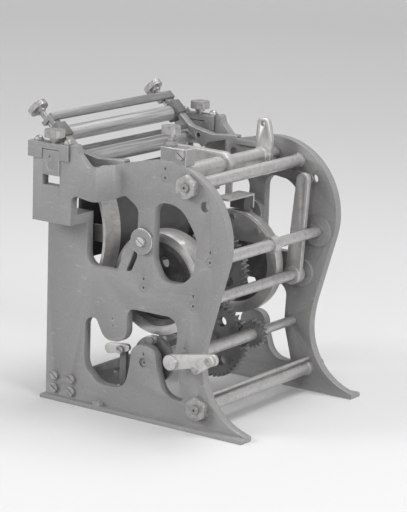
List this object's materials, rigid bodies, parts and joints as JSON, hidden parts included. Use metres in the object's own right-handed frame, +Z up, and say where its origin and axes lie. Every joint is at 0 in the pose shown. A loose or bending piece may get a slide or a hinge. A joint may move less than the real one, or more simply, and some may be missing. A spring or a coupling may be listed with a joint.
{
  "type": "etching press",
  "caption": "Small etching press on two cast side frames, with geared drum, adjustable impression and inking rollers, rocker linkage and side crank.",
  "frame": {"origin": "centre of the footprint on the surface that the two feet stand on", "axes": "+Z up, +X from the straight rear edge of the side frames to their flared toes, +Y from the crank side to the other"},
  "size_m": [0.2544, 0.249, 0.2819],
  "materials": {
    "cast_iron_paint": "satin grey enamel over sand-cast iron",
    "bright_steel": "turned and filed steel, lightly oiled",
    "dark_iron": "machined cast iron with an oily film",
    "roller_steel": "ground roller face with wear streaks",
    "blackened_steel": "blackened flat bar",
    "wiper_felt": "dark packed felt"
  },
  "bodies": {
    "frame": {"side_frame_near": "cast_iron_paint", "side_frame_far": "cast_iron_paint", "bearing_caps": "cast_iron_paint", "inking_bracket_near": "cast_iron_paint", "inking_bracket_far": "cast_iron_paint", "adjuster_post": "cast_iron_paint", "rear_girt": "dark_iron", "ink_guard": "dark_iron", "packing_blocks": "dark_iron", "lever_post": "dark_iron", "wiper_bracket": "dark_iron", "girt_screws": "bright_steel", "top_tie_rod": "bright_steel", "bottom_tie_rod": "bright_steel", "tie_rod_nuts": "bright_steel", "guide_rod": "bright_steel", "cap_nuts": "bright_steel", "adjuster_locknut": "bright_steel", "clamp_screw": "bright_steel", "pivot_discs": "bright_steel", "pivot_screws": "bright_steel", "lever_screw": "bright_steel", "cross_strap": "blackened_steel", "scraper_bar": "blackened_steel", "wiper_pad": "wiper_felt"},
    "impression_carriage": {"bearing_blocks": "bright_steel"},
    "impression_roll": {"impression_roller": "roller_steel"},
    "pressure_near": {"pressure_screw_near": "bright_steel"},
    "pressure_far": {"pressure_screw_far": "bright_steel"},
    "ink_carriage": {"roller_blocks": "bright_steel"},
    "ink_roll": {"inking_roller": "roller_steel"},
    "thumb_near": {"thumb_screw_near": "bright_steel"},
    "thumb_far": {"thumb_screw_far": "bright_steel"},
    "adjuster": {"adjuster_screw": "bright_steel"},
    "drum": {"main_shaft": "bright_steel", "near_wheel": "dark_iron", "far_wheel": "dark_iron", "main_gear": "dark_iron", "wheel_cover": "bright_steel", "cover_screws": "bright_steel"},
    "lay": {"lay_shaft": "bright_steel", "lay_gear": "dark_iron", "cam_disc": "dark_iron"},
    "cam_pin_roller": {"pin_roller": "bright_steel"},
    "crank": {"crank_shaft": "bright_steel", "pinion": "dark_iron", "crank_arm": "bright_steel", "crank_rivet": "bright_steel"},
    "folding_link": {"crank_link": "bright_steel", "link_rivet": "bright_steel"},
    "guide": {"guide_shaft": "bright_steel"},
    "swing": {"swing_shaft": "bright_steel", "link_bar": "dark_iron", "bar_pin": "bright_steel"},
    "drag": {"drag_link": "dark_iron"},
    "rocker": {"rocker_shaft": "bright_steel", "rocker_arm": "dark_iron", "link_lever": "bright_steel", "tail_pin": "bright_steel"},
    "trip": {"trip_lever": "dark_iron"}
  },
  "joints": [
    {"name": "impression_slide", "type": "slide", "parent": "frame", "child": "impression_carriage", "axis": [0, 0, 1], "range_m": [-0.0021, 0.0007]},
    {"name": "impression_spin", "type": "hinge", "parent": "impression_carriage", "child": "impression_roll", "pos_m": [-0.07884, 0, 0.228], "axis": [0, 1, 0], "continuous": true},
    {"name": "pressure_near_turn", "type": "hinge", "parent": "impression_carriage", "child": "pressure_near", "pos_m": [-0.07884, -0.115, 0.25], "axis": [0, 0, 1], "range_deg": [-765, 260]},
    {"name": "pressure_far_turn", "type": "hinge", "parent": "impression_carriage", "child": "pressure_far", "pos_m": [-0.07884, 0.115, 0.25], "axis": [0, 0, 1], "range_deg": [-765, 260]},
    {"name": "ink_slide", "type": "slide", "parent": "frame", "child": "ink_carriage", "axis": [0.7443, 0, -0.6678], "range_m": [-0.0015, 0.003]},
    {"name": "inking_spin", "type": "hinge", "parent": "ink_carriage", "child": "ink_roll", "pos_m": [-0.09374, 0, 0.25049], "axis": [0, 1, 0], "continuous": true},
    {"name": "thumb_near_turn", "type": "hinge", "parent": "ink_carriage", "child": "thumb_near", "pos_m": [-0.10818, -0.09, 0.26345], "axis": [0.7443, 0, -0.6678], "range_deg": [-545, 1085]},
    {"name": "thumb_far_turn", "type": "hinge", "parent": "ink_carriage", "child": "thumb_far", "pos_m": [-0.10818, 0.09, 0.26345], "axis": [0.7443, 0, -0.6678], "range_deg": [-545, 1085]},
    {"name": "adjuster_turn", "type": "hinge", "parent": "frame", "child": "adjuster", "pos_m": [0.03117, -0.0875, 0.26], "axis": [0, 0, 1], "range_deg": [-180, 180]},
    {"name": "drum_spin", "type": "hinge", "parent": "frame", "child": "drum", "pos_m": [0.01017, 0, 0.1236], "axis": [0, 1, 0], "continuous": true},
    {"name": "lay_spin", "type": "hinge", "parent": "frame", "child": "lay", "pos_m": [0.01206, 0, 0.05323], "axis": [0, 1, 0], "continuous": true},
    {"name": "pin_roller_spin", "type": "hinge", "parent": "lay", "child": "cam_pin_roller", "pos_m": [0.01206, -0.0815, 0.07223], "axis": [0, 1, 0], "continuous": true},
    {"name": "crank_spin", "type": "hinge", "parent": "frame", "child": "crank", "pos_m": [0.05739, 0, 0.06639], "axis": [0, 1, 0], "continuous": true},
    {"name": "crank_link_fold", "type": "hinge", "parent": "crank", "child": "folding_link", "pos_m": [0.10082, -0.1165, 0.07562], "axis": [0, 1, 0], "continuous": true},
    {"name": "guide_spin", "type": "hinge", "parent": "frame", "child": "guide", "pos_m": [0.08246, 0, 0.1582], "axis": [0, 1, 0], "continuous": true},
    {"name": "swing_rock", "type": "hinge", "parent": "frame", "child": "swing", "pos_m": [0.06556, 0, 0.1155], "axis": [0, 1, 0], "range_deg": [-1.6, 1.6]},
    {"name": "drag_link_turn", "type": "hinge", "parent": "swing", "child": "drag", "pos_m": [0.07266, 0.0765, 0.2083], "axis": [0, 1, 0], "range_deg": [-1.6, 1.6]},
    {"name": "rocker_rock", "type": "hinge", "parent": "frame", "child": "rocker", "pos_m": [0.03096, 0, 0.2279], "axis": [0, 1, 0], "range_deg": [-10, 10]},
    {"name": "trip_turn", "type": "hinge", "parent": "frame", "child": "trip", "pos_m": [-0.02133, -0.0825, 0.0578], "axis": [0, 1, 0], "range_deg": [-8, 8]}
  ],
  "couplings": [
    {"joint": "pressure_near_turn", "follows": "impression_slide", "rad_per_m": 6283.2},
    {"joint": "pressure_far_turn", "follows": "impression_slide", "rad_per_m": 6283.2},
    {"joint": "thumb_near_turn", "follows": "ink_slide", "rad_per_m": 6283.2},
    {"joint": "thumb_far_turn", "follows": "ink_slide", "rad_per_m": 6283.2},
    {"joint": "lay_spin", "follows": "drum_spin", "ratio": -1},
    {"joint": "crank_spin", "follows": "drum_spin", "ratio": 2.9333},
    {"joint": "swing_rock", "follows": "rocker_rock", "ratio": -0.15086},
    {"joint": "drag_link_turn", "follows": "rocker_rock", "ratio": 0.15086}
  ]
}
